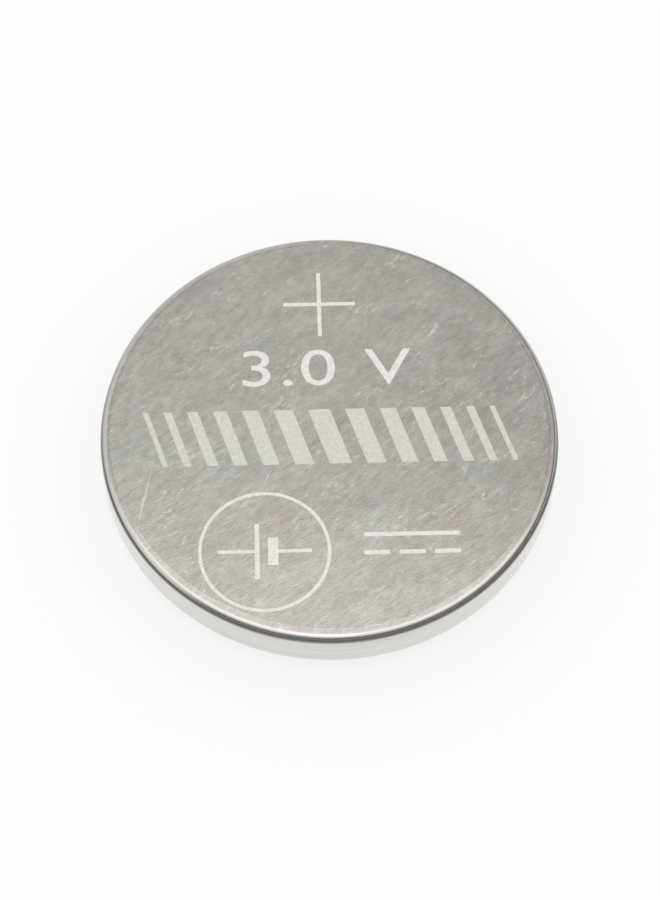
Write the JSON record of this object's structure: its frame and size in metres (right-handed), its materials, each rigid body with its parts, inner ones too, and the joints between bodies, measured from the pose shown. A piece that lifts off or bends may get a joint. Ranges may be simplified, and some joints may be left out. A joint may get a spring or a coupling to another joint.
{
  "type": "lithium coin cell",
  "caption": "Flat round lithium coin cell: a polished steel can rolled over a gasket and a stepped cap, closed round a lithium disc, a separator and a pressed cathode pellet.",
  "frame": {"origin": "middle of the flat negative face, which the cell rests on", "axes": "+Z along the cell's axis, from the negative face to the positive face"},
  "size_m": [0.02, 0.02, 0.0032],
  "materials": {
    "can_steel": "satin",
    "cap_steel": "satin",
    "gasket_polypropylene": "satin",
    "collar_steel": "satin",
    "manganese_dioxide": "matte",
    "separator_felt": "matte",
    "lithium": "satin"
  },
  "bodies": {
    "root": {"positive_can": "can_steel", "negative_cap": "cap_steel", "sealing_gasket": "gasket_polypropylene", "cathode_ring": "collar_steel", "cathode_pellet": "manganese_dioxide", "separator": "separator_felt", "lithium_anode": "lithium"}
  },
  "joints": []
}
